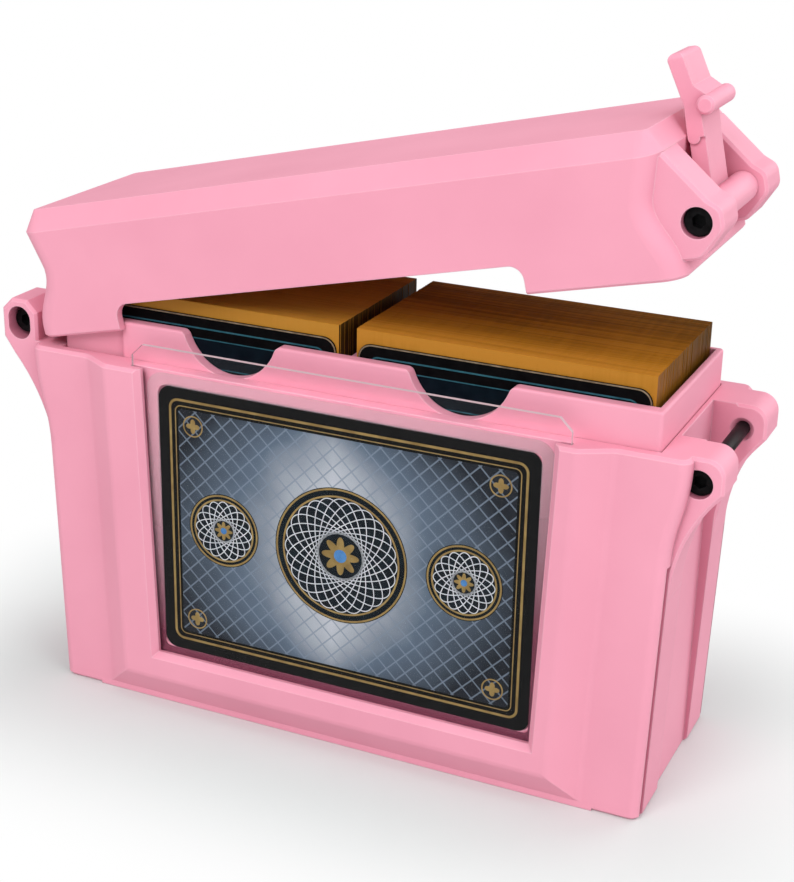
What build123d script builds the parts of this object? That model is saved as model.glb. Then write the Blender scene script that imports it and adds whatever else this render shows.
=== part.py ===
"""Two-deck card case shaped like a small cooler, in millimetres.

X runs along the case (hinge at -X, latch at +X), Y from front to back and Z up.
The origin is the middle of the underside of the shell.
"""

import os
from math import cos, radians, sin

from build123d import *

os.makedirs("parts", exist_ok=True)

# Cards: standard 63 x 88 cards, each in its sleeves
card_width = 63.0
card_length = 88.0
card_corner = 3.0
card_thickness = 0.4
sleeve_margin = 1.5
sleeve_headroom = 3.0
sleeved_thickness = 0.66
cards_in_deck = 60
deck_clearance = 0.25

# Deck tray
tray_wall = 1.4
tray_front_wall = 2.6
tray_hinge_step = 1.0
tray_hinge_step_length = 15.4
tray_floor = 2.0
divider_wall = 1.6
divider_below_rim = 1.5
deck_above_rim = 6.0
thumb_radius = 11.5
thumb_depth = 8.6
thumb_inset = 7.7
thumb_mouth_radius = 1.6
rim_edge = 0.6
tray_corner = 0.8

# Case shell
shell_floor = 2.4
shell_end_wall = 1.0
tray_gap = 0.2
rim_above_ledge = 8.0
ledge_overhang = 6.5
side_inset = 3.0
base_inset = 4.6
flare_height = 23.4
flare_lip = 2.6
shell_corner = 2.4
ledge_margin = 0.6
ledge_edge = 0.7
base_edge = 0.7
groove_width = 1.6
groove_depth = 0.9

# Picture frame on the front
frame_side_top = 6.8
frame_side_base = 3.8
frame_slope = 6.6
frame_bend = 3.0
frame_lip = 2.2
frame_chamfer_top = 7.5
frame_chamfer_base = 1.5
frame_foot_round = 3.0
window_margin = 3.2
window_base_margin = 0.9
window_shift = 2.0
window_sill = 13.8
window_bevel = 1.3
card_above_sill = 1.2
recess_clearance = 0.3
recess_slack = 0.05

# Clear sheet in front of the display card
sheet_margin = 6.0
sheet_above_ledge = 5.1
sheet_below_sill = 2.3
sheet_thickness = 1.0
sheet_corner = 2.6
sheet_side_clearance = 0.2
sheet_clearance = 0.15

# Lid
lid_wall = 2.0
lid_height = 28.0
lid_bevel_run = 3.7
lid_bevel_drop = 4.4
lid_edge = 0.5
lid_inner_bevel = 3.0
lid_inset = 1.0
lid_waist_inset = 3.9
lid_brow_inset = 0.4
lid_lip = 2.0
lid_flare_height = 13.6
lid_corner = 4.6
lid_seat_gap = 0.15
rim_clearance = 0.3
card_to_skirt = 0.9
notch_left_leg = 22.4
notch_right_leg = 31.4
notch_height = 6.0
notch_corner = 3.0
lid_rest_angle = 13.0

# Screws, all M3 with black socket heads
screw_radius = 1.5
head_radius = 2.75
head_height = 3.0
socket_width_radius = 1.45
socket_depth = 1.6
counterbore_radius = 3.0
counterbore_depth = 4.6
long_screw = 34.0
short_screw = 14.0
fixed_clearance = 0.02
running_clearance = 0.06
bore_mouth = 1.0

# Ears: plates at the front and back of each end
ear_thickness = 10.5
ear_setback = 3.0
ear_nose = 5.2
ear_round = 3.8
ear_chin = 5.0
ear_chin_back = 2.6
gusset_height = 31.4
ear_edge = 0.6
knuckle_gap = 0.2

# Hinge at the left end
hinge_out = 4.9
hinge_up = 3.6
hinge_half_width = 4.6
hinge_half_height = 5.4
hinge_crown_cut = 2.6
hinge_slot_width = 5.8
hinge_slot_height = 7.6
hinge_slot_depth = 5.6
hinge_barrel_radius = 4.6
hinge_chin = 7.6
hinge_web_top = 6.5
hinge_web_foot = 3.0

# Latch at the right end
keeper_out = 1.0
keeper_drop = 5.4
pivot_out = 2.0
pivot_up = 10.1
lid_ear_nose = 5.0
lid_ear_chin = 7.0
lid_ear_shoulder = 4.0
lid_ear_round = 2.6
barrel_radius = 3.1
arm_thickness = 3.2
arm_offset = 2.6
arm_width = 11.0
lever_width = 12.0
lever_edge = 0.5
grip_length = 10.0
grip_lean = 2.2
grip_round = 1.2
hook_radius = 1.8
hook_length = 16.0
hook_clearance = 0.35
hook_side = 0.4
hook_web = 5.0
prong_radius = 1.2
prong_drop = 6.0
prong_gap = 0.3

# Levels and outlines worked out from the sizes above
sleeve_width = card_width + 2 * sleeve_margin
sleeve_height = card_length + sleeve_headroom
deck_depth = cards_in_deck * sleeved_thickness
deck_floor = shell_floor + tray_floor
deck_top = deck_floor + sleeve_height
rim_z = deck_top - deck_above_rim
ledge_z = rim_z - rim_above_ledge
flare_start = ledge_z - flare_height
gusset_foot = ledge_z - gusset_height

tray_inner_half = divider_wall / 2 + 2 * deck_clearance + sleeve_width
tray_half = tray_inner_half + tray_wall
tray_depth = tray_front_wall + deck_depth + 2 * deck_clearance + tray_wall
tray_front = -tray_depth / 2
tray_back = tray_depth / 2
deck_front = tray_front + tray_front_wall + deck_clearance

cavity_half = tray_half + tray_gap
end_wall_x = cavity_half + shell_end_wall
ledge_half = cavity_half + ledge_overhang
side_half = ledge_half - side_inset
base_half = ledge_half - base_inset

skirt_front = tray_front - rim_clearance - lid_wall
skirt_back = tray_back + rim_clearance + lid_wall
panel_front = skirt_front - ledge_margin
panel_back = skirt_back + ledge_margin
card_front = skirt_front - card_to_skirt
recess_floor = card_front + card_thickness + recess_slack
sheet_back = card_front - sheet_clearance
sheet_front = sheet_back - sheet_thickness
slot_front = sheet_front - sheet_clearance
frame_front = slot_front - frame_lip

window_half = card_length / 2 + window_margin
window_base_half = card_length / 2 + window_base_margin
frame_top_half = window_half + frame_side_top
frame_base_half = window_half + frame_side_base
card_bottom = window_sill + card_above_sill
sheet_width = card_length + 2 * sheet_margin
sheet_foot = window_sill - sheet_below_sill
sheet_height = ledge_z + sheet_above_ledge - sheet_foot

ear_front = panel_front + ear_setback
ear_back = ear_front + ear_thickness
bay_half = -ear_back

hinge_x = -(ledge_half + hinge_out)
hinge_z = ledge_z + hinge_up
hinge_axis = Axis((hinge_x, 0, hinge_z), (0, -1, 0))

lid_seat = ledge_z + lid_seat_gap
lid_top = ledge_z + lid_height
lid_half = ledge_half - lid_inset
lid_waist = lid_seat + lid_lip + lid_flare_height
lid_waist_half = lid_half - lid_waist_inset
lid_brow_half = lid_half - lid_brow_inset
lid_shoulder = lid_top - lid_bevel_drop
lid_flare_rate = (lid_brow_half - lid_waist_half) / (lid_top - lid_waist)
lid_shoulder_half = lid_waist_half + lid_flare_rate * (lid_shoulder - lid_waist)
notch_left = notch_left_leg - lid_half
notch_right = lid_half - notch_right_leg

keeper_x = ledge_half + keeper_out
keeper_z = ledge_z - keeper_drop
pivot_x = ledge_half + pivot_out
pivot_z = ledge_z + pivot_up
hook_reach = pivot_z - keeper_z + screw_radius + hook_radius + hook_clearance


def front_plane(y):
    """Plane facing the front, whose own x and y are the case's X and Z."""
    return Plane(origin=(0, y, 0), x_dir=(1, 0, 0), z_dir=(0, -1, 0))


def window_corners(bevel):
    """Corners of the window, which widens upwards and runs out past the ledge."""
    foot = window_sill - bevel
    crown = 2 * ledge_z
    foot_half = window_base_half + bevel
    widening = (window_half - window_base_half) / (ledge_z - window_sill)
    crown_half = foot_half + widening * (crown - foot)
    return [
        (window_shift - foot_half, foot),
        (window_shift + foot_half, foot),
        (window_shift + crown_half, crown),
        (window_shift - crown_half, crown),
    ]


def socket_screw(seat, length):
    """Cap screw whose head stands on the seat plane and whose shank runs along its normal."""
    with BuildPart() as screw:
        with BuildSketch(seat):
            Circle(screw_radius)
        extrude(amount=length)
        with BuildSketch(seat):
            Circle(head_radius)
        extrude(amount=-head_height)
        with BuildSketch(seat.offset(-head_height)):
            RegularPolygon(socket_width_radius, 6)
        extrude(amount=socket_depth, mode=Mode.SUBTRACT)
    return screw.part


# Keeper ear: the front one of two plates at the right end, with its gusset
with BuildPart() as keeper_ear:
    with BuildSketch(front_plane(ear_front)):
        with BuildLine():
            nose_x = keeper_x + ear_nose
            Line((cavity_half, ledge_z), (nose_x - ear_round, ledge_z))
            TangentArc((nose_x - ear_round, ledge_z), (nose_x, ledge_z - ear_round), tangent=(1, 0))
            chin = Vector(nose_x - ear_chin_back, keeper_z - ear_chin)
            Polyline((nose_x, ledge_z - ear_round), (nose_x, keeper_z - ear_chin / 3), chin)
            gusset = TangentArc((side_half, gusset_foot), chin, tangent=(0, 1))
            Polyline(gusset @ 0, (cavity_half, gusset_foot), (cavity_half, ledge_z))
        make_face()
    extrude(amount=-ear_thickness)
    rim = keeper_ear.faces().filter_by(Axis.Y).edges()
    chamfer(rim.filter_by(lambda edge: edge.center().X > side_half + ear_edge), ear_edge)

# Hinge ear: the front one of two plates at the left end, with its gusset
with BuildPart() as hinge_ear:
    with BuildSketch(front_plane(ear_front)):
        with BuildLine():
            outer = hinge_x - hinge_half_width
            inner = hinge_x + hinge_half_width
            crown = hinge_z + hinge_half_height
            chin = Vector(outer + ear_chin_back, hinge_z - hinge_chin)
            Polyline(
                (inner, ledge_z),
                (inner, crown - hinge_crown_cut),
                (inner - hinge_crown_cut, crown),
                (outer + hinge_crown_cut, crown),
                (outer, crown - hinge_crown_cut),
                (outer, hinge_z - hinge_chin / 2),
                chin,
            )
            gusset = TangentArc((-side_half, gusset_foot), chin, tangent=(0, 1))
            Polyline(gusset @ 0, (-cavity_half, gusset_foot), (-cavity_half, ledge_z), (inner, ledge_z))
        make_face()
    extrude(amount=-ear_thickness)
    rim = hinge_ear.faces().filter_by(Axis.Y).edges()
    chamfer(rim.filter_by(lambda edge: edge.center().X < -side_half - ear_edge), ear_edge)

# Right half of the raised frame: its sloped side leans outwards from the foot to the ledge
lean = Vector(frame_top_half - frame_base_half, 0, ledge_z)
with BuildPart() as frame_half:
    with BuildSketch(Plane.XY) as frame_outline:
        with BuildLine():
            slope_foot = frame_base_half + frame_slope
            Polyline(
                (-frame_slope, frame_front),
                (frame_base_half, frame_front),
                (slope_foot, panel_front),
                (slope_foot + frame_bend, panel_front),
                (slope_foot + frame_bend, 0),
                (-frame_slope, 0),
                close=True,
            )
        make_face()
        bends = frame_outline.vertices().filter_by(lambda corner: abs(corner.Y) > 1)
        bends = bends.filter_by(lambda corner: frame_base_half - 1 < corner.X < slope_foot + 1)
        fillet(bends, frame_bend)
    extrude(amount=lean.length, dir=lean)

# Case shell: flared box with the picture frame, four ears, end bays and the slot for the sheet
with BuildPart() as case_body:
    with BuildSketch(front_plane(panel_front)):
        with BuildLine():
            base = Line((0, 0), (base_half, 0))
            side = Line(base @ 1, (side_half, flare_start))
            flare_top = Vector(ledge_half, ledge_z - flare_lip)
            flare_middle = (side @ 1 + flare_top) / 2
            hollow = TangentArc(side @ 1, flare_middle, tangent=side % 1)
            TangentArc(hollow @ 1, flare_top, tangent=hollow % 1)
            Polyline(flare_top, (ledge_half, ledge_z), (0, ledge_z), (0, 0))
        make_face()
        mirror(about=Plane.YZ)
    extrude(amount=-(panel_back - panel_front))
    upright = case_body.edges().filter_by(lambda edge: abs(edge.center().X) > base_half * 0.98)
    upright = upright.filter_by(Axis.Y, reverse=True)
    fillet(upright, shell_corner)
    chamfer(case_body.faces().sort_by(Axis.Z)[0].edges(), base_edge)

    # Raised frame, narrower at its foot, with a bevelled foot
    add(frame_half.part)
    mirror(frame_half.part, about=Plane.YZ)
    with BuildSketch(Plane.YZ) as foot_cut:
        with BuildLine():
            Polyline(
                (frame_front - frame_lip, -frame_lip),
                (frame_front - frame_lip, frame_chamfer_top + frame_foot_round),
                (frame_front, frame_chamfer_top + frame_foot_round),
                (frame_front, frame_chamfer_top),
                (panel_front, frame_chamfer_base),
                (panel_front, -frame_lip),
                close=True,
            )
        make_face()
        foot_bend = foot_cut.vertices().sort_by_distance((frame_front, frame_chamfer_top, 0))[0]
        fillet(foot_bend, frame_foot_round)
    extrude(amount=ledge_half, both=True, mode=Mode.SUBTRACT)
    chamfer(case_body.faces().sort_by(Axis.Z)[-1].outer_wire().edges(), ledge_edge)

    # Ears at the front, and their mirror images at the back
    add(keeper_ear.part)
    add(hinge_ear.part)
    mirror(keeper_ear.part, about=Plane.XZ)
    mirror(hinge_ear.part, about=Plane.XZ)

    # Bays between the ears, open above and below
    with BuildSketch(Plane.XY):
        for end in (-1, 1):
            with Locations((end * (end_wall_x + ledge_half), 0)):
                Rectangle(2 * ledge_half, 2 * bay_half)
    extrude(amount=2 * ledge_z, mode=Mode.SUBTRACT)

    # Cavity for the tray
    with BuildSketch(Plane.XY.offset(shell_floor)):
        Rectangle(2 * cavity_half, tray_depth + 2 * tray_gap)
    extrude(amount=2 * ledge_z, mode=Mode.SUBTRACT)

    # Window, slot for the sheet and recess for the card
    with BuildSketch(front_plane(frame_front)):
        with BuildLine():
            Polyline(*window_corners(0), close=True)
        make_face()
    extrude(amount=-(slot_front - frame_front), mode=Mode.SUBTRACT)
    with BuildSketch(front_plane(frame_front)):
        with BuildLine():
            Polyline(*window_corners(window_bevel), close=True)
        make_face()
    extrude(amount=-window_bevel, taper=45, mode=Mode.SUBTRACT)
    with BuildSketch(front_plane(slot_front)):
        with Locations((window_shift, sheet_foot)):
            Rectangle(sheet_width + 2 * sheet_side_clearance, ledge_z, align=(Align.CENTER, Align.MIN))
    extrude(amount=-(card_front - slot_front), mode=Mode.SUBTRACT)
    with BuildSketch(front_plane(card_front)):
        with Locations((window_shift, card_bottom)):
            RectangleRounded(
                card_length + 2 * recess_clearance,
                card_width + recess_clearance,
                card_corner,
                align=(Align.CENTER, Align.MIN),
            )
    extrude(amount=-(recess_floor - card_front), mode=Mode.SUBTRACT)

    # Keeper bore with its counterbore, and the hinge bores with their slots
    with BuildSketch(front_plane(ear_front)):
        with Locations((keeper_x, keeper_z)):
            Circle(screw_radius + fixed_clearance)
    extrude(amount=-(counterbore_depth + long_screw), mode=Mode.SUBTRACT)
    with BuildSketch(front_plane(ear_front)):
        with Locations((keeper_x, keeper_z)):
            Circle(counterbore_radius)
    extrude(amount=-counterbore_depth, mode=Mode.SUBTRACT)
    mouth = case_body.edges().filter_by(GeomType.CIRCLE)
    mouth = mouth.sort_by_distance((keeper_x, bay_half, keeper_z))
    chamfer(mouth[0], bore_mouth)
    with BuildSketch(front_plane(ear_front)):
        with Locations((hinge_x, hinge_z)):
            Circle(screw_radius + fixed_clearance)
    extrude(amount=2 * ear_front, mode=Mode.SUBTRACT)
    for face_y, inward in ((ear_front, -1), (-ear_front, 1)):
        with BuildSketch(front_plane(face_y)):
            with Locations((hinge_x, hinge_z)):
                SlotOverall(hinge_slot_height, hinge_slot_width, rotation=90)
        extrude(amount=inward * hinge_slot_depth, mode=Mode.SUBTRACT)

    # Groove down each end between the corner and the rib below the ear
    for line_y in (ear_front - groove_width, -ear_front):
        with BuildSketch(front_plane(line_y)):
            with BuildLine():
                Polyline(
                    (base_half - groove_depth, 0),
                    (base_half + ledge_overhang, 0),
                    (side_half + ledge_overhang, flare_start),
                    (side_half - groove_depth, flare_start),
                    close=True,
                )
            make_face()
            mirror(about=Plane.YZ)
        extrude(amount=-groove_width, mode=Mode.SUBTRACT)
case_body.part.label = "case_body"
export_step(case_body.part, "parts/case_body.step")

# Deck tray: two compartments, a rim above the ledge and a thumb cut-out for each deck
compartment_x = divider_wall / 2 + deck_clearance + sleeve_width / 2
compartment_y = deck_front + deck_depth / 2
compartment_depth = deck_depth + 2 * deck_clearance
thumb_x = compartment_x - thumb_inset
step_x = tray_hinge_step_length - tray_half
with BuildPart() as deck_tray:
    with BuildSketch(Plane.XY.offset(shell_floor)):
        Rectangle(2 * tray_half, tray_depth)
    extrude(amount=rim_z - shell_floor)
    with BuildSketch(Plane.XY.offset(shell_floor)):
        with Locations((step_x, tray_front)):
            Rectangle(tray_half, 2 * tray_hinge_step, align=(Align.MAX, Align.CENTER))
    extrude(amount=rim_z - shell_floor, mode=Mode.SUBTRACT)
    upright = deck_tray.edges().filter_by(Axis.Z)
    inner_corner = upright.sort_by_distance((step_x, tray_front + tray_hinge_step, rim_z / 2))[0]
    fillet(upright.filter_by(lambda edge: edge != inner_corner), tray_corner)
    fillet(deck_tray.faces().sort_by(Axis.Z)[-1].outer_wire().edges(), rim_edge)
    with BuildSketch(Plane.XY.offset(deck_floor)):
        for way in (-1, 1):
            with Locations((way * compartment_x, compartment_y)):
                Rectangle(sleeve_width + 2 * deck_clearance, compartment_depth)
    extrude(amount=sleeve_height, mode=Mode.SUBTRACT)
    with BuildSketch(Plane.XY.offset(rim_z - divider_below_rim)):
        with Locations((0, compartment_y)):
            Rectangle(2 * divider_wall, compartment_depth)
    extrude(amount=rim_z, mode=Mode.SUBTRACT)
    with BuildSketch(front_plane(tray_front)) as thumbs:
        with Locations((0, rim_z)):
            Rectangle(2 * tray_half, deck_above_rim, align=(Align.CENTER, Align.MIN))
        for way in (-1, 1):
            with Locations((way * thumb_x, rim_z - thumb_depth + thumb_radius)):
                Circle(thumb_radius)
        mouths = thumbs.vertices().filter_by(lambda corner: abs(corner.Y - rim_z) < 0.01)
        fillet(mouths.filter_by(lambda corner: abs(corner.X) < tray_half - 0.01), thumb_mouth_radius)
    extrude(amount=-tray_front_wall, mode=Mode.SUBTRACT)
deck_tray.part.label = "deck_tray"
export_step(deck_tray.part, "parts/deck_tray.step")

# Decks: a block of sleeved cards and the front card, which shows its own outline
for side, way in (("left", -1), ("right", 1)):
    with BuildPart() as deck:
        with BuildSketch(front_plane(deck_front + deck_depth)):
            with Locations((way * compartment_x, deck_floor)):
                Rectangle(sleeve_width, sleeve_height, align=(Align.CENTER, Align.MIN))
        extrude(amount=deck_depth - card_thickness)
    deck.part.label = f"deck_{side}"
    export_step(deck.part, f"parts/deck_{side}.step")

    with BuildPart() as front_card:
        with BuildSketch(front_plane(deck_front + card_thickness)):
            with Locations((way * compartment_x, deck_floor)):
                RectangleRounded(card_width, card_length, card_corner, align=(Align.CENTER, Align.MIN))
        extrude(amount=card_thickness)
    front_card.part.label = f"front_card_{side}"
    export_step(front_card.part, f"parts/front_card_{side}.step")

# Display card lying on its long edge in its recess
with BuildPart() as display_card:
    with BuildSketch(front_plane(card_front + card_thickness)):
        with Locations((window_shift, card_bottom)):
            RectangleRounded(card_length, card_width, card_corner, align=(Align.CENTER, Align.MIN))
    extrude(amount=card_thickness)
display_card.part.label = "display_card"
export_step(display_card.part, "parts/display_card.step")

# Clear sheet standing in its slot, its top corners cut off
with BuildPart() as window_sheet:
    with BuildSketch(front_plane(sheet_back)) as sheet_outline:
        with Locations((window_shift, sheet_foot)):
            Rectangle(sheet_width, sheet_height, align=(Align.CENTER, Align.MIN))
        chamfer(sheet_outline.vertices().group_by(Axis.Y)[-1], sheet_corner)
    extrude(amount=sheet_thickness)
window_sheet.part.label = "window_sheet"
export_step(window_sheet.part, "parts/window_sheet.step")

# Hollow of the lid, later cut out of it
with BuildPart() as lid_hollow:
    with BuildSketch(front_plane(skirt_front + lid_wall)):
        with BuildLine():
            lip = Polyline((0, 0), (lid_half - lid_wall, 0), (lid_half - lid_wall, lid_seat + lid_lip))
            waist = Vector(lid_waist_half - lid_wall, lid_waist)
            middle = (lip @ 1 + waist) / 2
            lower = TangentArc(lip @ 1, middle, tangent=(0, 1))
            TangentArc(middle, waist, tangent=lower % 1)
            Polyline(waist, (waist.X, lid_top - lid_wall), (0, lid_top - lid_wall), (0, 0))
        make_face()
        mirror(about=Plane.YZ)
    extrude(amount=-(skirt_back - skirt_front - 2 * lid_wall))
    chamfer(lid_hollow.faces().sort_by(Axis.Z)[-1].edges(), lid_inner_bevel)

# Latch ear: the front one of two plates at the right end of the lid
with BuildPart() as lid_ear:
    with BuildSketch(front_plane(ear_front)) as ear_outline:
        with BuildLine():
            nose_x = pivot_x + lid_ear_nose
            root_x = lid_waist_half - lid_wall
            Polyline(
                (root_x, lid_shoulder),
                (lid_shoulder_half, lid_shoulder),
                (pivot_x + lid_ear_nose / 2, pivot_z + lid_ear_shoulder),
                (nose_x, pivot_z + lid_ear_shoulder / 2),
                (nose_x, pivot_z - lid_ear_shoulder / 2),
                (pivot_x, pivot_z - lid_ear_chin),
                (root_x, pivot_z - lid_ear_chin),
                close=True,
            )
        make_face()
        outside = ear_outline.vertices().filter_by(lambda corner: corner.X > pivot_x - 0.01)
        fillet(outside, lid_ear_round)
    extrude(amount=-ear_thickness)
    rim = lid_ear.faces().filter_by(Axis.Y).edges()
    chamfer(rim.filter_by(lambda edge: edge.center().X > lid_waist_half), ear_edge)

# Lid: flared ends, bevelled top, hinge knuckle at the left and two latch ears at the right
with BuildPart() as lid_shell:
    with BuildSketch(front_plane(skirt_front)):
        with BuildLine():
            lip = Polyline((0, lid_seat), (lid_half, lid_seat), (lid_half, lid_seat + lid_lip))
            waist = Vector(lid_waist_half, lid_waist)
            Spline(lip @ 1, waist, tangents=((0, 1), (lid_flare_rate, 1)))
            Polyline(waist, (lid_brow_half, lid_top), (0, lid_top), (0, lid_seat))
        make_face()
        mirror(about=Plane.YZ)
    extrude(amount=-(skirt_back - skirt_front))
    upright = lid_shell.edges().filter_by(lambda edge: abs(edge.center().X) > lid_waist_half - 0.01)
    fillet(upright.filter_by(Axis.Y, reverse=True), lid_corner)
    top = lid_shell.faces().sort_by(Axis.Z)[-1]
    chamfer(top.edges(), lid_bevel_run, lid_bevel_drop, reference=top)
    chamfer(lid_shell.faces().sort_by(Axis.Z)[0].edges(), lid_edge)
    add(lid_ear.part)
    mirror(lid_ear.part, about=Plane.XZ)

    # Hinge knuckle with its web
    with BuildSketch(front_plane(0)):
        with BuildLine():
            Polyline(
                (hinge_x, hinge_z - hinge_web_foot),
                (-lid_waist_half + lid_wall, hinge_z - hinge_web_foot),
                (-lid_waist_half + lid_wall, hinge_z + hinge_web_top),
                (hinge_x, hinge_z + hinge_barrel_radius),
                close=True,
            )
        make_face()
        with Locations((hinge_x, hinge_z)):
            Circle(hinge_barrel_radius)
    extrude(amount=bay_half - knuckle_gap, both=True)

    # Hollow, notch in the front skirt, hinge bore and pivot bore
    add(lid_hollow.part, mode=Mode.SUBTRACT)
    with BuildSketch(front_plane(skirt_front)) as notch:
        with Locations((notch_left, ledge_z - notch_height)):
            Rectangle(notch_right - notch_left, 2 * notch_height, align=(Align.MIN, Align.MIN))
        fillet(notch.vertices().group_by(Axis.Y)[-1], notch_corner)
    extrude(amount=-lid_wall, mode=Mode.SUBTRACT)
    with BuildSketch(front_plane(0)):
        with Locations((hinge_x, hinge_z)):
            Circle(screw_radius + running_clearance)
    extrude(amount=bay_half, both=True, mode=Mode.SUBTRACT)
    with BuildSketch(front_plane(ear_front)):
        with Locations((pivot_x, pivot_z)):
            Circle(screw_radius + fixed_clearance)
    extrude(amount=-(counterbore_depth + long_screw), mode=Mode.SUBTRACT)
    with BuildSketch(front_plane(ear_front)):
        with Locations((pivot_x, pivot_z)):
            Circle(counterbore_radius)
    extrude(amount=-counterbore_depth, mode=Mode.SUBTRACT)

# Latch lever, flipped up: barrel, arm, cross bar that hooks under the keeper, grip and stop prong
arm_outer = pivot_x - arm_offset + arm_thickness / 2
arm_inner = pivot_x - arm_offset - arm_thickness / 2
hook_z = pivot_z + hook_reach
grip_top = hook_z + grip_length
prong_x = lid_shoulder_half + prong_gap + prong_radius
with BuildPart() as latch_lever:
    with BuildSketch(front_plane(0)):
        with Locations((prong_x, hook_z - prong_drop), (arm_inner + prong_radius, hook_z)):
            Circle(prong_radius)
        make_hull()
    extrude(amount=lever_width / 2, both=True)
    with BuildSketch(front_plane(0)):
        with BuildLine():
            Polyline(
                (arm_inner, hook_z - prong_drop),
                (arm_inner, hook_z),
                (arm_inner - grip_lean, grip_top),
                (arm_outer - grip_lean, grip_top),
                (arm_outer, hook_z),
                (arm_outer, hook_z - prong_drop),
                close=True,
            )
        make_face()
    extrude(amount=lever_width / 2, both=True)
    with BuildSketch(front_plane(0)):
        with BuildLine():
            Polyline(
                (arm_inner, hook_z),
                (pivot_x + hook_side + hook_radius, hook_z),
                (arm_outer - grip_lean, hook_z + hook_web),
                close=True,
            )
        make_face()
    extrude(amount=lever_width / 2, both=True)
    fillet(latch_lever.faces().sort_by(Axis.Z)[-1].edges(), grip_round)
    with BuildSketch(front_plane(0)):
        with Locations((pivot_x + hook_side, hook_z)):
            Circle(hook_radius)
    extrude(amount=hook_length / 2, both=True)
    ends = latch_lever.edges().filter_by(lambda edge: abs(edge.center().Y) > hook_length / 2 - 0.01)
    chamfer(ends, lever_edge)

    # Arm with a round top, and the barrel at its foot
    with BuildSketch(front_plane(0)):
        with Locations((pivot_x - arm_offset, hook_z - hook_radius)):
            Circle(arm_thickness / 2)
        with Locations((pivot_x - arm_offset, pivot_z)):
            Rectangle(arm_thickness, hook_reach - hook_radius, align=(Align.CENTER, Align.MIN))
    extrude(amount=arm_width / 2, both=True)
    with BuildSketch(front_plane(0)):
        with Locations((pivot_x, pivot_z)):
            Circle(barrel_radius)
    extrude(amount=bay_half - knuckle_gap, both=True)
    with BuildSketch(front_plane(0)):
        with Locations((pivot_x, pivot_z)):
            Circle(screw_radius + running_clearance)
    extrude(amount=bay_half, both=True, mode=Mode.SUBTRACT)

# Screws: keeper rod and latch pivot of one length, two short ones in the hinge
keeper_seat = Plane(origin=(keeper_x, ear_front + counterbore_depth, keeper_z), z_dir=(0, 1, 0))
keeper_screw = socket_screw(keeper_seat, long_screw)
keeper_screw.label = "keeper_screw"
export_step(keeper_screw, "parts/keeper_screw.step")

hinge_seat = Plane(origin=(hinge_x, ear_front + hinge_slot_depth, hinge_z), z_dir=(0, 1, 0))
with BuildPart() as hinge_screws:
    add(socket_screw(hinge_seat, short_screw))
    mirror(about=Plane.XZ)
hinge_screws.part.label = "hinge_screws"
export_step(hinge_screws.part, "parts/hinge_screws.step")

# The lid and what it carries are drawn closed, then raised to the angle at which the lid stands
pivot_seat = Plane(origin=(pivot_x, ear_front + counterbore_depth, pivot_z), z_dir=(0, 1, 0))
raised = {
    "lid_shell": lid_shell.part,
    "latch_lever": latch_lever.part,
    "latch_pivot_screw": socket_screw(pivot_seat, long_screw),
}
for name, piece in raised.items():
    standing = piece.rotate(hinge_axis, lid_rest_angle)
    standing.label = name
    export_step(standing, f"parts/{name}.step")

turn = radians(lid_rest_angle)
reach_x = pivot_x - hinge_x
reach_z = pivot_z - hinge_z
print("hinge axis", round(hinge_x, 4), round(hinge_z, 4))
print(
    "latch axis",
    round(hinge_x + reach_x * cos(turn) - reach_z * sin(turn), 4),
    round(hinge_z + reach_x * sin(turn) + reach_z * cos(turn), 4),
)
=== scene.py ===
import math

import bpy
import numpy as np
from mathutils import Matrix, Vector


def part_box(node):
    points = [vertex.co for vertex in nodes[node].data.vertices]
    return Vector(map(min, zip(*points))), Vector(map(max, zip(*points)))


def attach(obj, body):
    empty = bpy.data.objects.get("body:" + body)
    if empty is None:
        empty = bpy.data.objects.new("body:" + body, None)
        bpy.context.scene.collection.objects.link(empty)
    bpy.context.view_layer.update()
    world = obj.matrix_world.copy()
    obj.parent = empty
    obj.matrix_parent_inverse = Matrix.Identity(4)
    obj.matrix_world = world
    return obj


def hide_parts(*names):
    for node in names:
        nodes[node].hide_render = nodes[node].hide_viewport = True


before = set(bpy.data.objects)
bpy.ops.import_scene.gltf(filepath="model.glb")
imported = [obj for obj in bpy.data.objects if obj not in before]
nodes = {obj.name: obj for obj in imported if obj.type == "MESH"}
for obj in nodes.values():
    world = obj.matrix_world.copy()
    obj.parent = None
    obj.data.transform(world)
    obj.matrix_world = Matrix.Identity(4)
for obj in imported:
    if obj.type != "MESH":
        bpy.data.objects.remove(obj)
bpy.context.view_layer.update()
mm = 0.001
print("frame loaded,", len(nodes), "nodes")


# small helpers for objects and node trees
def addObject(name, data):
    item = bpy.data.objects.new(name, data)
    bpy.context.scene.collection.objects.link(item)
    return item


def addNode(tree, kind, inputs=None, **settings):
    node = tree.nodes.new(kind)
    for name, value in settings.items():
        setattr(node, name, value)
    for name, value in (inputs or {}).items():
        if isinstance(value, bpy.types.NodeSocket):
            tree.links.new(value, node.inputs[name])
        else:
            node.inputs[name].default_value = value
    return node


def calc(tree, operation, first, second=0.0, third=0.0):
    inputs = {0: first, 1: second, 2: third}
    return addNode(tree, "ShaderNodeMath", inputs, operation=operation).outputs[0]


def spread(tree, value, low, high, start=0.0, end=1.0, blend="LINEAR"):
    # carries start..end over to low..high
    inputs = {"Value": value, "From Min": start, "From Max": end, "To Min": low, "To Max": high}
    return addNode(tree, "ShaderNodeMapRange", inputs, interpolation_type=blend).outputs["Result"]


def ramp(tree, value, places, colours):  # one colour at each place
    node = addNode(tree, "ShaderNodeValToRGB", {"Fac": value})
    band = node.color_ramp
    while len(band.elements) < len(places):
        band.elements.new(1.0)
    for element, place, colour in zip(band.elements, places, colours):
        element.position = place
        element.color = (*colour, 1.0)
    return node.outputs["Color"]


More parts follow.
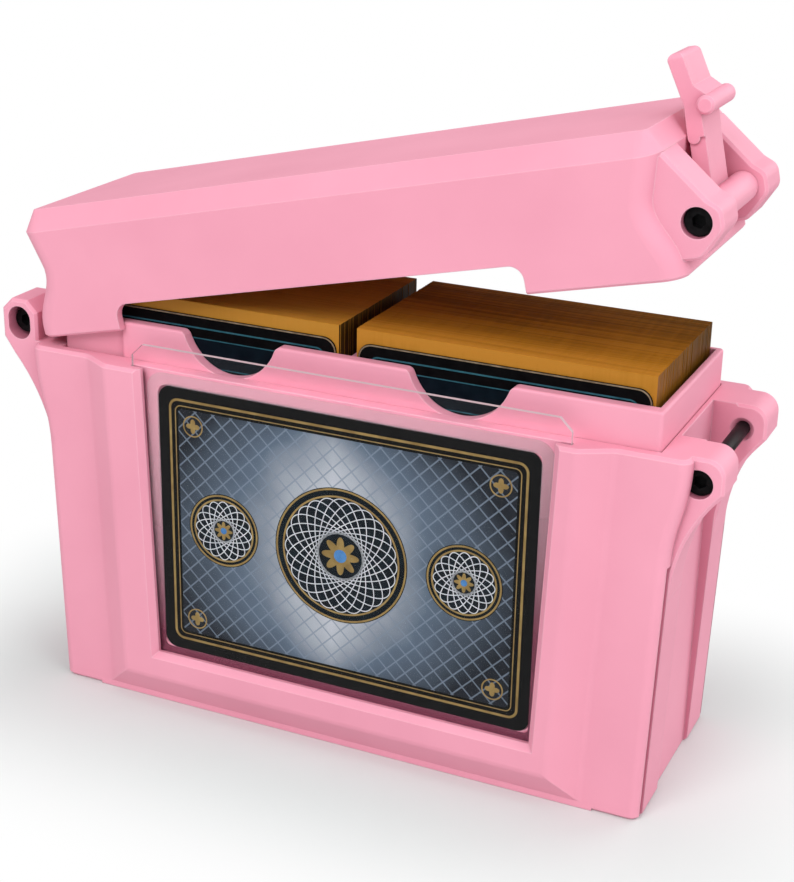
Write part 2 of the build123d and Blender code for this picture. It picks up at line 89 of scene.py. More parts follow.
def objectPlace(tree):
    return addNode(tree, "ShaderNodeTexCoord").outputs["Object"]


def axes(tree, vector):
    return addNode(tree, "ShaderNodeSeparateXYZ", {0: vector}).outputs


def flatNormal(tree):
    return addNode(tree, "ShaderNodeNewGeometry").outputs["True Normal"]


def noise(tree, scale, detail=3.0, stretch=(1.0, 1.0, 1.0), shift=(0.0, 0.0, 0.0)):
    inputs = {"Vector": objectPlace(tree), "Location": shift, "Scale": stretch}
    mapped = addNode(tree, "ShaderNodeMapping", inputs).outputs["Vector"]
    inputs = {"Vector": mapped, "Scale": scale, "Detail": detail}
    return addNode(tree, "ShaderNodeTexNoise", inputs).outputs["Fac"]


def tint(tree, share, colour, other):  # share of the other colour over the first
    inputs = {0: share, 6: colour, 7: other}
    return addNode(tree, "ShaderNodeMix", inputs, data_type="RGBA").outputs[2]


def mixShaders(tree, share, first, second):  # share of the second over the first
    return addNode(tree, "ShaderNodeMixShader", {0: share, 1: first, 2: second}).outputs["Shader"]


def newMaterial(name, **sockets):
    material = bpy.data.materials.new(name)
    material.use_nodes = True
    tree = material.node_tree
    tree.nodes.clear()
    inputs = {key.replace("_", " "): value for key, value in sockets.items()}
    shader = addNode(tree, "ShaderNodeBsdfPrincipled", inputs)
    output = addNode(tree, "ShaderNodeOutputMaterial", {"Surface": shader.outputs["BSDF"]})
    return material, tree, shader, output


def give(shader, tree, **sockets):
    for name, value in sockets.items():
        tree.links.new(value, shader.inputs[name.replace("_", " ")])


def dress(material, *names):
    for name in names:
        slots = nodes[name].material_slots
        if slots:
            for slot in slots:
                slot.material = material
        else:
            nodes[name].data.materials.append(material)


# satin moulded plastic, one pour of colour for shell, tray, lid and lever
satinPink = {
    "deep": (0.80, 0.318, 0.424),
    "pale": (0.86, 0.357, 0.468),
    "stops": (0.3, 0.7),
    "cloudScale": 26.0,                     # soft flow clouds, per metre
    "cloudStep": 0.37,                      # from one piece to the next
    "cloudOffset": 0.11,
    "grainScale": 2400.0,                   # fine mould texture
    "grainDepth": 0.000012,
    "roughness": (0.46, 0.56),
    "specular": 0.3,
    "edgeRadius": 0.0004,                   # painted highlight along the mould edges
    "edgePale": (0.95, 0.55, 0.65, 1.0),
    "edgeTurn": (0.90, 0.993),              # cosine between face and rounded edge, from full to none
    "edgeShare": 0.75,
    "creaseShade": (0.40, 0.085, 0.150, 1.0),    # painted shade in corners and bores
    "creaseReach": 0.010,
    "creaseOpen": (0.25, 0.93),             # how open a spot is, from full crease to none
    "creaseShare": 0.75,
    "samples": 6,
}


def pinkPlastic(name, shift):
    look = satinPink
    samples = look["samples"]
    material, tree, shader, _ = newMaterial(name, Specular_IOR_Level=look["specular"])
    clouds = noise(tree, look["cloudScale"], shift=shift)
    colour = ramp(tree, clouds, look["stops"], (look["deep"], look["pale"]))
    grain = noise(tree, look["grainScale"], shift=shift)
    rough = spread(tree, grain, *look["roughness"])
    # painted highlight: colour paled where the rounded edge normal turns away from the face normal
    edge = addNode(tree, "ShaderNodeBevel", {"Radius": look["edgeRadius"]}, samples=samples)
    rounded = edge.outputs["Normal"]
    facing = addNode(tree, "ShaderNodeNewGeometry").outputs["Normal"]
    turn = addNode(tree, "ShaderNodeVectorMath", {0: rounded, 1: facing}, operation="DOT_PRODUCT")
    edgeHighlight = spread(tree, turn.outputs["Value"], look["edgeShare"], 0.0, *look["edgeTurn"])
    colour = tint(tree, edgeHighlight, colour, look["edgePale"])
    # painted shade: colour darkened where the piece's own shape closes round a spot
    inputs = {"Distance": look["creaseReach"]}
    nearby = addNode(tree, "ShaderNodeAmbientOcclusion", inputs, samples=samples, only_local=True)
    shadeShare = spread(tree, nearby.outputs["AO"], look["creaseShare"], 0.0, *look["creaseOpen"])
    colour = tint(tree, shadeShare, colour, look["creaseShade"])
    inputs = {"Height": grain, "Distance": look["grainDepth"], "Normal": rounded}
    bump = addNode(tree, "ShaderNodeBump", inputs)
    give(shader, tree, Base_Color=colour, Roughness=rough, Normal=bump.outputs["Normal"])
    return material


for place, name in enumerate(("case_body", "deck_tray", "lid_shell", "latch_lever")):
    shift = (satinPink["cloudStep"] * place, satinPink["cloudOffset"], 0.0)
    dress(pinkPlastic(name + "Pink", shift), name)
print("pink plastic done")


# black oxide steel of the screws
oxideSteel = {
    "dark": (0.003, 0.003, 0.0035),
    "light": (0.010, 0.010, 0.011),
    "stops": (0.35, 0.75),
    "scale": 900.0,
    "roughness": (0.35, 0.55),
    "specular": 0.12,
}
material, tree, shader, _ = newMaterial("oxideSteel", Specular_IOR_Level=oxideSteel["specular"])
mottle = noise(tree, oxideSteel["scale"], detail=4.0)
steelColour = ramp(tree, mottle, oxideSteel["stops"], (oxideSteel["dark"], oxideSteel["light"]))
give(shader, tree, Base_Color=steelColour, Roughness=spread(tree, mottle, *oxideSteel["roughness"]))
dress(material, "keeper_screw", "latch_pivot_screw", "hinge_screws")


# clear window sheet, lamps shine straight through it
clearSheet = {
    "tint": (0.985, 0.98, 0.982, 1.0),
    "ior": 1.3,
    "smearScale": 45.0,
    "smearStretch": (1.0, 1.0, 0.4),
    "roughness": (0.015, 0.04),
    "cutEdge": (0.66, 0.52, 0.56, 1.0),     # sawn edges are matt and pale
    "cutTurn": 0.5,                         # Y of the normal, below which a face is a sawn edge
}
material, tree, shader, output = newMaterial(
    "clearSheet", Base_Color=clearSheet["tint"], IOR=clearSheet["ior"], Transmission_Weight=1.0
)
smear = noise(tree, clearSheet["smearScale"], detail=4.0, stretch=clearSheet["smearStretch"])
give(shader, tree, Roughness=spread(tree, smear, *clearSheet["roughness"]))
outward = calc(tree, "ABSOLUTE", axes(tree, flatNormal(tree))["Y"])
sawn = calc(tree, "LESS_THAN", outward, clearSheet["cutTurn"])
matt = addNode(tree, "ShaderNodeBsdfDiffuse", {"Color": clearSheet["cutEdge"]}).outputs["BSDF"]
cut = mixShaders(tree, sawn, shader.outputs["BSDF"], matt)
lampRay = addNode(tree, "ShaderNodeLightPath").outputs["Is Shadow Ray"]
through = addNode(tree, "ShaderNodeBsdfTransparent").outputs["BSDF"]
tree.links.new(mixShaders(tree, lampRay, cut, through), output.inputs["Surface"])
dress(material, "window_sheet")
print("steel and clear sheet done")


# meshes: rings of points, each ring joined to the next, the last to the first or both ends capped
def ringFaces(rings, points, closedPath):
    ring = np.arange(rings if closedPath else rings - 1)[:, None]
    point = np.arange(points)[None, :]
    nextPoint = (point + 1) % points
    here = ring * points
    there = (ring + 1) % rings * points
    corners = (here + point, here + nextPoint, there + nextPoint, there + point)
    return np.stack(corners, axis=-1).reshape(-1, 4)


def buildMesh(name, bodies, closedPath, body, material, replaced=None):
    # bodies: arrays of shape (copies, rings, points, 3) in metres, all with the same turning sense
    verts = []
    faces = []
    start = 0
    for shape in bodies:
        copies, rings, points, _ = shape.shape
        verts.append(shape.reshape(-1, 3))
        quads = ringFaces(rings, points, closedPath)
        offsets = start + np.arange(copies) * rings * points
        faces += (offsets[:, None, None] + quads[None]).reshape(-1, 4).tolist()
        if not closedPath:
            cap = np.arange(points)
            faces += (offsets[:, None] + cap[::-1][None]).tolist()
            faces += (offsets[:, None] + (rings - 1) * points + cap[None]).tolist()
        start += copies * rings * points
    mesh = bpy.data.meshes.new(name)
    mesh.from_pydata(np.concatenate(verts).tolist(), [], faces)
    mesh.update()
    mesh.materials.append(material)
    piece = addObject(name, mesh)
    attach(piece, body)
    if replaced:
        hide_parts(replaced)
    return piece


# decks: sixty sleeves each, every sleeve a pinched profile in Y and Z carried along X
sleeve = {
    "count": 60,
    "rings": 5,
    "across": (-1.0, -1.0, -0.55, 0.0, 0.55, 1.0, 1.0),    # profile in half thicknesses
    "down": (0.0, -1.0, -0.3, 0.0, -0.3, -1.0, 0.0),       # and in pinches
    "pinch": 0.16 * mm,                     # height over which the top edge narrows
    "settle": 0.07 * mm,                    # how far a sleeve may sit low
    "sideways": 0.06 * mm,
    "edgeGap": 0.9 * mm,                    # left free beside the tray wall
    "bow": 0.03 * mm,
    "gap": 0.98,                            # share of the pitch that the film fills
    "shadeByPlace": 0.72,                    # painted shade: lightest in front, darker towards the back under the lid
    "toneByChance": 0.28,
    "shadePower": 1.4,
}
sleeveLook = {
    # both decks are one sleeve plastic; the left is set lighter than the right as painted light against
    # the lid's shade over it
    "left": {
        "seed": 11,
        "dark": (0.260, 0.112, 0.008),
        "mid": (0.420, 0.188, 0.020),
        "light": (0.460, 0.212, 0.030),
        "ends": 0.9,                        # how far the ends of the sleeves go to dark: dark gaps seen end-on, with painted shade that is stronger on this deck under the lid
    },
    "right": {
        "seed": 23,
        "dark": (0.165, 0.066, 0.003),
        "mid": (0.330, 0.135, 0.009),
        "light": (0.450, 0.190, 0.022),
        "ends": 0.5,
    },
    "stops": (0.42, 0.60, 0.80),
    "endGapsAndShade": (0.020, 0.010, 0.003, 1.0),
    "streakScale": 240.0,
    "streak": (0.08, 6.0, 1.0),             # long in X
    "weave": (5.0, 0.25, 0.25),             # short in X
    "blotchScale": 45.0,
    "blotch": (0.5, 1.0, 1.0),
    "weights": {"streaks": 0.28, "toneAndShade": 0.42, "weave": 0.16, "blotch": 0.34},
    "roughness": (0.28, 0.5),
    "specular": 0.1,
}


def sleevePlastic(side):
    look = sleeveLook
    own = sleeveLook[side]
    material, tree, shader, _ = newMaterial(side + "Sleeves", Specular_IOR_Level=look["specular"])
    layers = {
        "streaks": noise(tree, look["streakScale"], detail=4.0, stretch=look["streak"]),
        "toneAndShade": addNode(tree, "ShaderNodeAttribute", attribute_name="sleeveToneAndShade").outputs["Fac"],
        "weave": noise(tree, look["streakScale"], stretch=look["weave"]),
        "blotch": noise(tree, look["blotchScale"], stretch=look["blotch"]),
    }
    total = 0.0
    for name, layer in layers.items():
        total = calc(tree, "MULTIPLY_ADD", layer, look["weights"][name], total)
    colour = ramp(tree, total, look["stops"], (own["dark"], own["mid"], own["light"]))
    # ends of the sleeves darker: the dark gaps between sleeves seen end-on, partly painted shade
    endways = calc(tree, "ABSOLUTE", axes(tree, flatNormal(tree))["X"])
    colour = tint(tree, calc(tree, "MULTIPLY", endways, own["ends"]), colour, look["endGapsAndShade"])
    rough = spread(tree, layers["streaks"], *look["roughness"])
    give(shader, tree, Base_Color=colour, Roughness=rough)
    return material


def sleeveStack(side, node, body):
    # at each x along a sleeve: y = middle + profile + bow * sin(pi * along), z = top - drop + profile
    low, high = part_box(node)
    count = sleeve["count"]
    rings = sleeve["rings"]
    draw = np.random.default_rng(sleeveLook[side]["seed"])
    pitch = (high.y - low.y) / count
    half = 0.5 * pitch * sleeve["gap"]
    drop = sleeve["settle"] * draw.random(count) ** 2.0
    slip = sleeve["sideways"] * draw.uniform(-1.0, 1.0, count)
    nearness = 1.0 - np.arange(count) / (count - 1.0)
    # painted shade towards the back of the deck, with a random tone for each sleeve on top
    toneAndShade = sleeve["shadeByPlace"] * nearness ** sleeve["shadePower"]
    toneAndShade += sleeve["toneByChance"] * draw.random(count)
    middle = low.y + pitch * (np.arange(count) + 0.5)
    profileY = np.array(sleeve["across"]) * half
    profileZ = np.array(sleeve["down"]) * sleeve["pinch"]
    along = np.linspace(0.0, 1.0, rings)
    inset = sleeve["sideways"] + sleeve["edgeGap"]
    x = low.x + inset + (high.x - low.x - 2.0 * inset) * along
    bow = sleeve["bow"] * np.sin(np.pi * along)[None, :] * draw.uniform(-1.0, 1.0, count)[:, None]
    y = middle[:, None, None] + profileY[None, None, :] + bow[..., None]
    shape = np.zeros((count, rings, len(profileY), 3))
    shape[..., 0] = x[None, :, None] + slip[:, None, None]
    shape[..., 1] = np.clip(y, low.y, high.y)
    shape[..., 2] = high.z - drop[:, None, None] + profileZ[None, None, :]
    shape[..., (0, -1), 2] = low.z
    material = sleevePlastic(side)
    piece = buildMesh(side + "Deck", [shape[:, :, ::-1]], False, body, material, node)
    values = np.repeat(toneAndShade, rings * len(profileY)).astype(np.float32)
    piece.data.attributes.new("sleeveToneAndShade", "FLOAT", "POINT").data.foreach_set("value", values)


sleeveStack("left", "deck_left", "left_deck")
sleeveStack("right", "deck_right", "right_deck")
print("decks done,", 2 * sleeve["count"], "sleeves")


# flat print on a card face: outlines in card X and Z, given a thin lift towards -Y
def lifted(outline, face, centre, low, high):
    # two rings of one outline, at two heights above the card face
    rings = np.zeros((1, 2, len(outline), 3))
    rings[0, :, :, 0] = centre[0] + outline[None, :, 0]
    rings[0, :, :, 2] = centre[1] + outline[None, :, 1]
    rings[0, 0, :, 1] = face - low
    rings[0, 1, :, 1] = face - high
    return rings


def line(path, width, face, centre, low, high):
    # closed line: an oblong section carried along the path, across its own normals
    tangent = np.roll(path, -1, axis=0) - np.roll(path, 1, axis=0)
    tangent /= np.linalg.norm(tangent, axis=1)[:, None]
    normal = np.stack((-tangent[:, 1], tangent[:, 0]), axis=1)
    across = np.array([-0.5, 0.5, 0.5, -0.5]) * width
    height = np.array([low, low, high, high])
    points = path[:, None, :] + across[None, :, None] * normal[:, None, :]
    rings = np.zeros((1, len(path), 4, 3))
    rings[0, :, :, 0] = centre[0] + points[..., 0]
    rings[0, :, :, 2] = centre[1] + points[..., 1]
    rings[0, :, :, 1] = face - height[None, :]
    return rings


def spun(points, angle):
    return points @ np.array([[math.cos(angle), math.sin(angle)], [-math.sin(angle), math.cos(angle)]])


def roundedBox(halfWidth, halfHeight, corner, steps=8):
    # a quarter circle, turned by a quarter for each corner and moved out to it
    turn = np.linspace(0.0, 0.5 * np.pi, steps)
    quarter = np.stack((np.cos(turn), np.sin(turn)), axis=1) * corner
    sides = []
    for index, (sx, sy) in enumerate(((1, 1), (-1, 1), (-1, -1), (1, -1))):
        out = (sx * (halfWidth - corner), sy * (halfHeight - corner))
        sides.append(spun(quarter, 0.5 * np.pi * index) + out)
    return np.concatenate(sides)


def boxOutline(size):  # half width, half height and corner in mm
    return roundedBox(*(value * mm for value in size[:3]))


def boxLine(size, face, centre, low, high):  # the same, with the line's width after them
    return line(boxOutline(size), size[3] * mm, face, centre, low, high)


def oval(halfWidth, halfHeight, angle=0.0, steps=72):
    # (halfWidth * cos, halfHeight * sin), turned about its middle
    turn = np.linspace(0.0, 2.0 * np.pi, steps, endpoint=False)
    return spun(np.stack((halfWidth * np.cos(turn), halfHeight * np.sin(turn)), axis=1), angle)


def flower(inner, outer, petals, steps=144, blunt=0.7):
    # radius = inner + (outer - inner) * (0.5 + 0.5 * cos(petals * turn)) ^ blunt
    turn = np.linspace(0.0, 2.0 * np.pi, steps, endpoint=False)
    radius = inner + (outer - inner) * (0.5 + 0.5 * np.cos(petals * turn)) ** blunt
    return np.stack((radius * np.cos(turn), radius * np.sin(turn)), axis=1)


inkLook = {
    "blackInk": {
        "dark": (0.002, 0.002, 0.0025),
        "light": (0.004, 0.004, 0.0045),
        "scale": 500.0,
        "rough": 0.42,
        "shine": 0.03,
    },
    "goldInk": {
        "dark": (0.30, 0.19, 0.055),
        "light": (0.48, 0.33, 0.11),
        "scale": 350.0,
        "rough": 0.34,
        "shine": 0.4,
        "metallic": 0.4,
    },
    "paleInk": {"dark": (0.55, 0.58, 0.63), "light": (0.72, 0.74, 0.78), "scale": 400.0, "rough": 0.4},
    "tealInk": {"dark": (0.015, 0.075, 0.10), "light": (0.03, 0.125, 0.16), "scale": 400.0, "rough": 0.4},
    "navyInk": {
        "dark": (0.002, 0.005, 0.009),
        "light": (0.004, 0.010, 0.016),
        "scale": 300.0,
        "rough": 0.36,
        "shine": 0.04,
    },
    "blueInk": {"dark": (0.05, 0.17, 0.42), "light": (0.09, 0.26, 0.55), "scale": 400.0, "rough": 0.36},
    # rim of the film round the front cards, painted lighter as a highlight on the film's edge
    "filmEdgeAndGlint": {
        "dark": (0.12, 0.085, 0.05),
        "light": (0.26, 0.20, 0.13),
        "scale": 600.0,
        "rough": 0.3,
        "shine": 0.3,
    },
}


def printInk(name, dark, light, scale, rough, shine=0.1, metallic=0.0, stops=(0.3, 0.7), swing=0.06):
    material, tree, shader, _ = newMaterial(name, Metallic=metallic, Specular_IOR_Level=shine)
    speck = noise(tree, scale)
    give(shader, tree, Base_Color=ramp(tree, speck, stops, (dark, light)))
    give(shader, tree, Roughness=spread(tree, speck, rough - swing, rough + swing))
    return material


inks = {name: printInk(name, **look) for name, look in inkLook.items()}
dress(inks["blackInk"], "display_card", "front_card_left", "front_card_right")


# display card: a plain symmetrical card back, frame lines, lattice panel and three rosettes
cardBack = {
    "frame": (41.2, 28.7, 2.0, 0.55),       # half width, half height, corner and line width, all in mm
    "hairline": (39.9, 27.4, 1.4, 0.22),
    "panel": (39.2, 26.7, 1.0),
    "bigRosette": {
        "place": 0.0,
        "disc": 15.6,
        "rings": (15.2, 13.6),
        "oval": (13.2, 5.2),
        "count": 12,
        "heart": 4.4,
    },
    "endRosette": {
        "place": 28.4,
        "disc": 8.6,
        "rings": (8.2, 7.2),
        "oval": (6.9, 2.5),
        "count": 8,
        "heart": 2.2,
    },
    "ringLine": 0.4,
    "ovalLine": 0.22,
    "heartInner": 0.55,                     # shares of the heart's radius
    "heartDot": 0.34,
    "heartPetals": 8,
    "cornerPlace": (35.6, 23.1),
    "cornerRadius": 2.3,
    "cornerLine": 0.3,
    "cornerFlower": (0.35, 0.72),           # inner and outer share of the corner's radius
    "cornerPetals": 4,
}
latticeLook = {
    "pale": (0.56, 0.59, 0.64),             # in the middle of the panel
    "slate": (0.105, 0.145, 0.20),
    "night": (0.012, 0.015, 0.022),         # at its ends
    "stops": (0.05, 0.5, 0.95),
    "wideShare": 0.85,
    "tallShare": 0.35,
    "tallPower": 2.5,
    "cloudScale": 90.0,
    "cloudShare": 0.25,
    "pitch": 4.4 * mm,
    "barWidth": 0.11,                       # share of the pitch
    "barColour": (0.20, 0.25, 0.32, 1.0),
    "barShare": 0.7,
    "roughness": (0.3, 0.42),
    "specular": 0.12,
}
printLift = 0.02 * mm                       # thickness of one layer of print
cardLow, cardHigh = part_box("display_card")
cardFace = cardLow.y
cardCentre = (0.5 * (cardLow.x + cardHigh.x), 0.5 * (cardLow.z + cardHigh.z))


def layer(number, thickness=1.0):  # heights of one layer of print above the card face
    return number * printLift, (number + thickness) * printLift


def latticePanel():
    look = latticeLook
    material, tree, shader, _ = newMaterial("latticePanel", Specular_IOR_Level=look["specular"])
    parts = axes(tree, objectPlace(tree))
    rise = calc(tree, "SUBTRACT", parts["Z"], cardCentre[1])
    wide = calc(tree, "DIVIDE", calc(tree, "ABSOLUTE", parts["X"]), cardBack["panel"][0] * mm)
    tall = calc(tree, "DIVIDE", calc(tree, "ABSOLUTE", rise), cardBack["panel"][1] * mm)
    tall = calc(tree, "POWER", tall, look["tallPower"])
    shade = calc(tree, "MULTIPLY", wide, look["wideShare"])
    shade = calc(tree, "MULTIPLY_ADD", tall, look["tallShare"], shade)
    clouds = noise(tree, look["cloudScale"], detail=4.0)
    shade = calc(tree, "MULTIPLY_ADD", calc(tree, "SUBTRACT", clouds, 0.5), look["cloudShare"], shade)
    colour = ramp(tree, shade, look["stops"], (look["pale"], look["slate"], look["night"]))
    bars = []
    for sense in ("ADD", "SUBTRACT"):
        slant = calc(tree, "DIVIDE", calc(tree, sense, parts["X"], rise), look["pitch"])
        saw = calc(tree, "ABSOLUTE", calc(tree, "SUBTRACT", calc(tree, "FRACT", slant), 0.5))
        bars.append(calc(tree, "LESS_THAN", saw, 0.5 * look["barWidth"]))
    bar = calc(tree, "MULTIPLY", calc(tree, "MAXIMUM", *bars), look["barShare"])
    colour = tint(tree, bar, colour, look["barColour"])
    give(shader, tree, Base_Color=colour, Roughness=spread(tree, clouds, *look["roughness"]))
    return material


goldLines = [boxLine(cardBack[name], cardFace, cardCentre, *layer(0)) for name in ("frame", "hairline")]
panelShape = lifted(boxOutline(cardBack["panel"]), cardFace, cardCentre, *layer(0))
goldPlates = []
paleLines = []
discs = []
blueDots = []
for name, way in (("bigRosette", 1), ("endRosette", -1), ("endRosette", 1)):
    rosette = cardBack[name]
    centre = (cardCentre[0] + way * rosette["place"] * mm, cardCentre[1])
    disc = rosette["disc"] * mm
    discs.append(lifted(oval(disc, disc), cardFace, centre, *layer(1)))
    for radius in rosette["rings"]:
        path = oval(radius * mm, radius * mm)
        goldLines.append(line(path, cardBack["ringLine"] * mm, cardFace, centre, *layer(2)))
    wide, narrow = rosette["oval"]
    for index in range(rosette["count"]):
        path = oval(wide * mm, narrow * mm, math.pi * index / rosette["count"])
        paleLines.append(line(path, cardBack["ovalLine"] * mm, cardFace, centre, *layer(2)))
    heart = rosette["heart"] * mm
    petals = flower(cardBack["heartInner"] * heart, heart, cardBack["heartPetals"])
    goldPlates.append(lifted(petals, cardFace, centre, *layer(3)))
    dot = cardBack["heartDot"] * heart
    blueDots.append(lifted(oval(dot, dot, steps=32), cardFace, centre, *layer(4, 0.6)))
radius = cardBack["cornerRadius"] * mm
inner, outer = (share * radius for share in cardBack["cornerFlower"])
for sx in (-1, 1):
    for sz in (-1, 1):
        aside, above = cardBack["cornerPlace"]
        centre = (cardCentre[0] + sx * aside * mm, cardCentre[1] + sz * above * mm)
        path = oval(radius, radius)
        goldLines.append(line(path, cardBack["cornerLine"] * mm, cardFace, centre, *layer(1)))
        petals = flower(inner, outer, cardBack["cornerPetals"], steps=64)
        goldPlates.append(lifted(petals, cardFace, centre, *layer(1)))
buildMesh("cardPanel", [panelShape], False, "case", latticePanel())
buildMesh("cardDiscs", discs, False, "case", inks["navyInk"])
buildMesh("cardGoldLines", goldLines, True, "case", inks["goldInk"])
buildMesh("cardGoldPlates", goldPlates, False, "case", inks["goldInk"])
buildMesh("cardPaleLines", paleLines, True, "case", inks["paleInk"])
buildMesh("cardBlueDots", blueDots, False, "case", inks["blueInk"])


# clear sleeve of the display card: a flat band just outside the card's edge, milky above, dark below and
# to the right as painted shade of the window recess
cardSleeveAndShade = {
    "band": 2.8 * mm,
    "corner": 2.6 * mm,
    "heights": (0.02 * mm, 0.09 * mm),      # above the card face, clear of the sheet
    "milky": (0.86, 0.62, 0.69),
    "recessShade": (0.25, 0.055, 0.10),
    "cover": (0.18, 0.68),                  # how much the milky film and the painted shade hide
    "sideways": 0.30,                       # how far the right side counts as low
    "reach": (-1.10, 0.60),                 # depths between which the milky film turns to painted shade, in half cards
    "haze": 0.2,
    "hazeScale": 160.0,
    "roughness": 0.3,
    "specular": 0.2,
}
material, tree, shader, _ = newMaterial(
    "cardSleeveAndShade", Roughness=cardSleeveAndShade["roughness"], Specular_IOR_Level=cardSleeveAndShade["specular"]
)
halfWide = 0.5 * (cardHigh.x - cardLow.x)
halfTall = 0.5 * (cardHigh.z - cardLow.z)
parts = axes(tree, objectPlace(tree))
aside = calc(tree, "DIVIDE", calc(tree, "SUBTRACT", parts["X"], cardCentre[0]), halfWide)
below = calc(tree, "DIVIDE", calc(tree, "SUBTRACT", cardCentre[1], parts["Z"]), halfTall)
haze = calc(tree, "SUBTRACT", noise(tree, cardSleeveAndShade["hazeScale"]), 0.5)
# painted shade: darker towards the bottom and the right of the card, as in the window recess
deep = calc(tree, "MULTIPLY_ADD", aside, cardSleeveAndShade["sideways"], below)
deep = calc(tree, "MULTIPLY_ADD", haze, cardSleeveAndShade["haze"], deep)
deep = spread(tree, deep, 0.0, 1.0, *cardSleeveAndShade["reach"])
filmColour = ramp(tree, deep, (0.0, 1.0), (cardSleeveAndShade["milky"], cardSleeveAndShade["recessShade"]))
give(shader, tree, Base_Color=filmColour, Alpha=spread(tree, deep, *cardSleeveAndShade["cover"]))
grow = 0.5 * cardSleeveAndShade["band"]
path = roundedBox(halfWide + grow, halfTall + grow, cardSleeveAndShade["corner"])
band = line(path, cardSleeveAndShade["band"], cardFace, cardCentre, *cardSleeveAndShade["heights"])
buildMesh("cardSleeveAndShade", [band], True, "case", material)
print("display card done")


# front card of each deck: black with a thin line, a dark title bar and the film's rim round it, the rim
# painted lighter as a highlight on the film's edge
frontCard = {
    "line": (28.9, 41.4, 2.0, 0.35),        # half width, half height, corner and line width, all in mm
    "bar": (25.6, 3.1, 2.4, 0.25),
    "rim": (31.3, 43.8, 2.9, 0.3),
    "barDrop": 8.0,                         # from the card's top to the middle of the bar
}
for side in ("left", "right"):
    low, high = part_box("front_card_" + side)
    centre = (0.5 * (low.x + high.x), 0.5 * (low.z + high.z))
    barCentre = (centre[0], high.z - frontCard["barDrop"] * mm)
    edges = [
        boxLine(frontCard["line"], low.y, centre, *layer(0)),
        boxLine(frontCard["bar"], low.y, barCentre, *layer(1)),
    ]
    rim = boxLine(frontCard["rim"], low.y, centre, *layer(0))
    bar = lifted(boxOutline(frontCard["bar"]), low.y, barCentre, *layer(0))
    buildMesh(side + "CardLines", edges, True, side + "_deck", inks["tealInk"])
    buildMesh(side + "CardRim", [rim], True, side + "_deck", inks["filmEdgeAndGlint"])
    buildMesh(side + "CardBar", [bar], False, side + "_deck", inks["navyInk"])
print("front cards done")


# floor, light and camera
stage = {
    "half": 4.0,
    "level": -0.05 * mm,
    "paper": (0.660, 0.705, 0.695, 1.0),    # cool, against the pink light thrown back by the case
    "thrownBack": (0.72, 0.73, 0.73, 1.0),  # paper as the case sees it, so its underside stays in shade
    "footprint": (0.072, 0.025),            # half length and half depth of the shell where it stands
    "fade": (0.002, 0.062),                 # distance from the footprint over which the paper turns white
    "mirrored": 0.3,                        # how bright the paper is in reflections
    "depth": 0.5,                           # steps of a ray that comes straight, see sightRays
    "roughness": 0.9,
    "specular": 0.1,
}
room = {
    "ambient": 0.50,                        # light of the sky on the case
    "white": 1.0,                           # the sky as the camera sees it
    "mirrored": 0.35,                       # and in reflections
    "depth": 1.5,                           # the sky counts one step more than a surface
}
plainWhite = (1.0, 1.0, 1.0, 1.0)


def sightRays(tree, rays, depth):
    # a ray straight from the camera, also through the clear sheet, and one mirrored by a gloss surface
    turns = calc(tree, "SUBTRACT", rays["Ray Depth"], rays["Transmission Depth"])
    through = calc(tree, "MULTIPLY", rays["Is Transmission Ray"], calc(tree, "LESS_THAN", turns, depth))
    straight = calc(tree, "MAXIMUM", rays["Is Camera Ray"], through)
    return straight, calc(tree, "MULTIPLY", rays["Is Glossy Ray"], calc(tree, "SUBTRACT", 1.0, straight))


half, level = stage["half"], stage["level"]
corners = [(-half, -half, level), (half, -half, level), (half, half, level), (-half, half, level)]
mesh = bpy.data.meshes.new("floor")
mesh.from_pydata(corners, [], [(0, 1, 2, 3)])
floor = addObject("floor", mesh)
material, tree, shader, output = newMaterial(
    "floorPaper", Roughness=stage["roughness"], Specular_IOR_Level=stage["specular"]
)
rays = addNode(tree, "ShaderNodeLightPath").outputs
give(shader, tree, Base_Color=tint(tree, rays["Is Camera Ray"], stage["thrownBack"], stage["paper"]))
parts = axes(tree, objectPlace(tree))
squares = []
for axis, reach in zip(("X", "Y"), stage["footprint"]):
    beyond = calc(tree, "SUBTRACT", calc(tree, "ABSOLUTE", parts[axis]), reach)
    squares.append(calc(tree, "POWER", calc(tree, "MAXIMUM", beyond, 0.0), 2.0))
away = calc(tree, "SQRT", calc(tree, "ADD", *squares))
fade = spread(tree, away, 0.0, 1.0, *stage["fade"], blend="SMOOTHSTEP")
seen, mirror = sightRays(tree, rays, stage["depth"])
share = calc(tree, "MAXIMUM", calc(tree, "MULTIPLY", seen, fade), mirror)
glow = spread(tree, mirror, 1.0, stage["mirrored"])
white = addNode(tree, "ShaderNodeEmission", {"Color": plainWhite, "Strength": glow}).outputs["Emission"]
tree.links.new(mixShaders(tree, share, shader.outputs["BSDF"], white), output.inputs["Surface"])
mesh.materials.append(material)

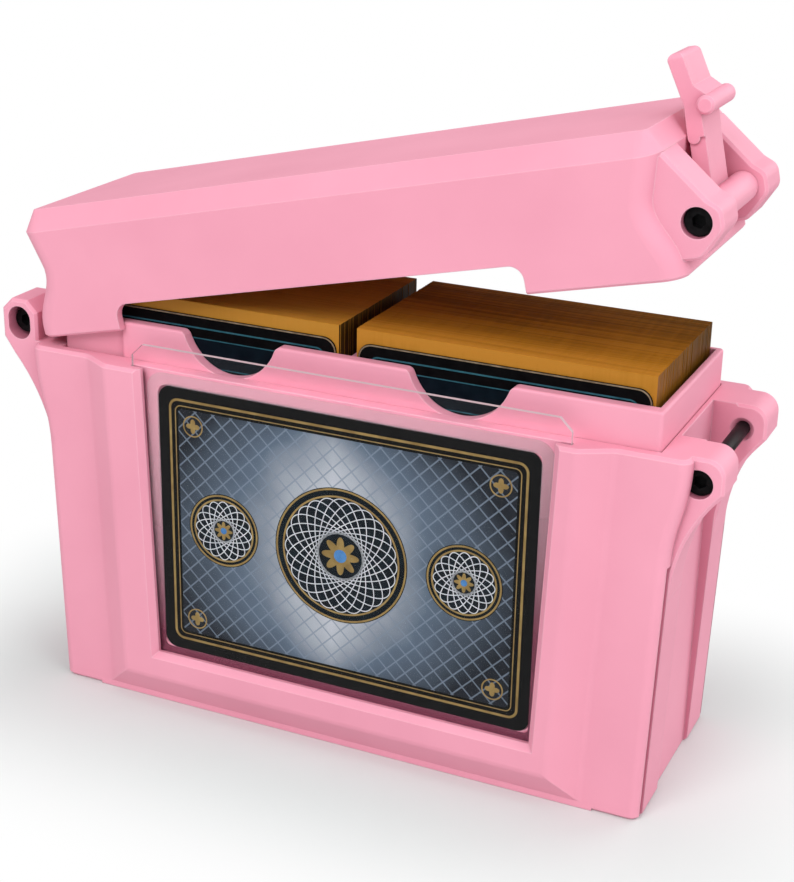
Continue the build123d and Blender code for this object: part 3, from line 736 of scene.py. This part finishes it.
world = bpy.data.worlds.new("studio")
world.use_nodes = True
bpy.context.scene.world = world
tree = world.node_tree
tree.nodes.clear()
rays = addNode(tree, "ShaderNodeLightPath").outputs
seen, mirror = sightRays(tree, rays, room["depth"])
strength = spread(tree, seen, room["ambient"], room["white"])
strength = calc(tree, "MULTIPLY", strength, calc(tree, "SUBTRACT", 1.0, mirror))
strength = calc(tree, "MULTIPLY_ADD", mirror, room["mirrored"], strength)
sky = addNode(tree, "ShaderNodeBackground", {"Color": plainWhite, "Strength": strength})
addNode(tree, "ShaderNodeOutputWorld", {"Surface": sky.outputs["Background"]})

lamps = {
    "keyLamp": {"place": (-0.15, -0.95, 0.95), "size": 0.7, "power": 8.9},
    "fillLamp": {"place": (0.95, -0.35, 0.60), "size": 0.8, "power": 4.7},
    "topLamp": {"place": (0.10, 0.25, 1.20), "size": 0.9, "power": 3.2},
    "rearLamp": {"place": (0.60, 0.95, 0.55), "size": 0.9, "power": 4.2},
}
lampAim = Vector((0.0, 0.0, 0.07))
for name, lamp in lamps.items():
    light = bpy.data.lights.new(name, "AREA")
    light.size = lamp["size"]
    light.energy = lamp["power"]
    holder = addObject(name, light)
    holder.location = lamp["place"]
    holder.rotation_euler = (lampAim - holder.location).to_track_quat("-Z", "Y").to_euler()

shot = {
    "place": (0.15150, -0.32870, 0.20593),
    "azimuth": 24.30,
    "elevation": 21.475,
    "roll": 1.17,
    "focal": 1757.0,                        # in pixels of a picture of this width
    "width": 794.0,
    "sensor": 36.0,
    "clip": (0.01, 30.0),
}
azimuth, elevation, roll = (math.radians(shot[key]) for key in ("azimuth", "elevation", "roll"))
flat = math.cos(elevation)
forward = Vector((-math.sin(azimuth) * flat, math.cos(azimuth) * flat, -math.sin(elevation)))
flatRight = Vector((math.cos(azimuth), math.sin(azimuth), 0.0))
flatUp = flatRight.cross(forward)
right = flatRight * math.cos(roll) + flatUp * math.sin(roll)
up = flatUp * math.cos(roll) - flatRight * math.sin(roll)
lens = bpy.data.cameras.new("camera")
lens.sensor_fit = "HORIZONTAL"
lens.sensor_width = shot["sensor"]
lens.lens = shot["focal"] * shot["sensor"] / shot["width"]
lens.clip_start, lens.clip_end = shot["clip"]
camera = addObject("camera", lens)
turned = Matrix((right, up, -forward)).transposed().to_4x4()
camera.matrix_world = Matrix.Translation(shot["place"]) @ turned
bpy.context.scene.camera = camera
bpy.context.scene.view_settings.view_transform = "Standard"
print("floor, light and camera done")
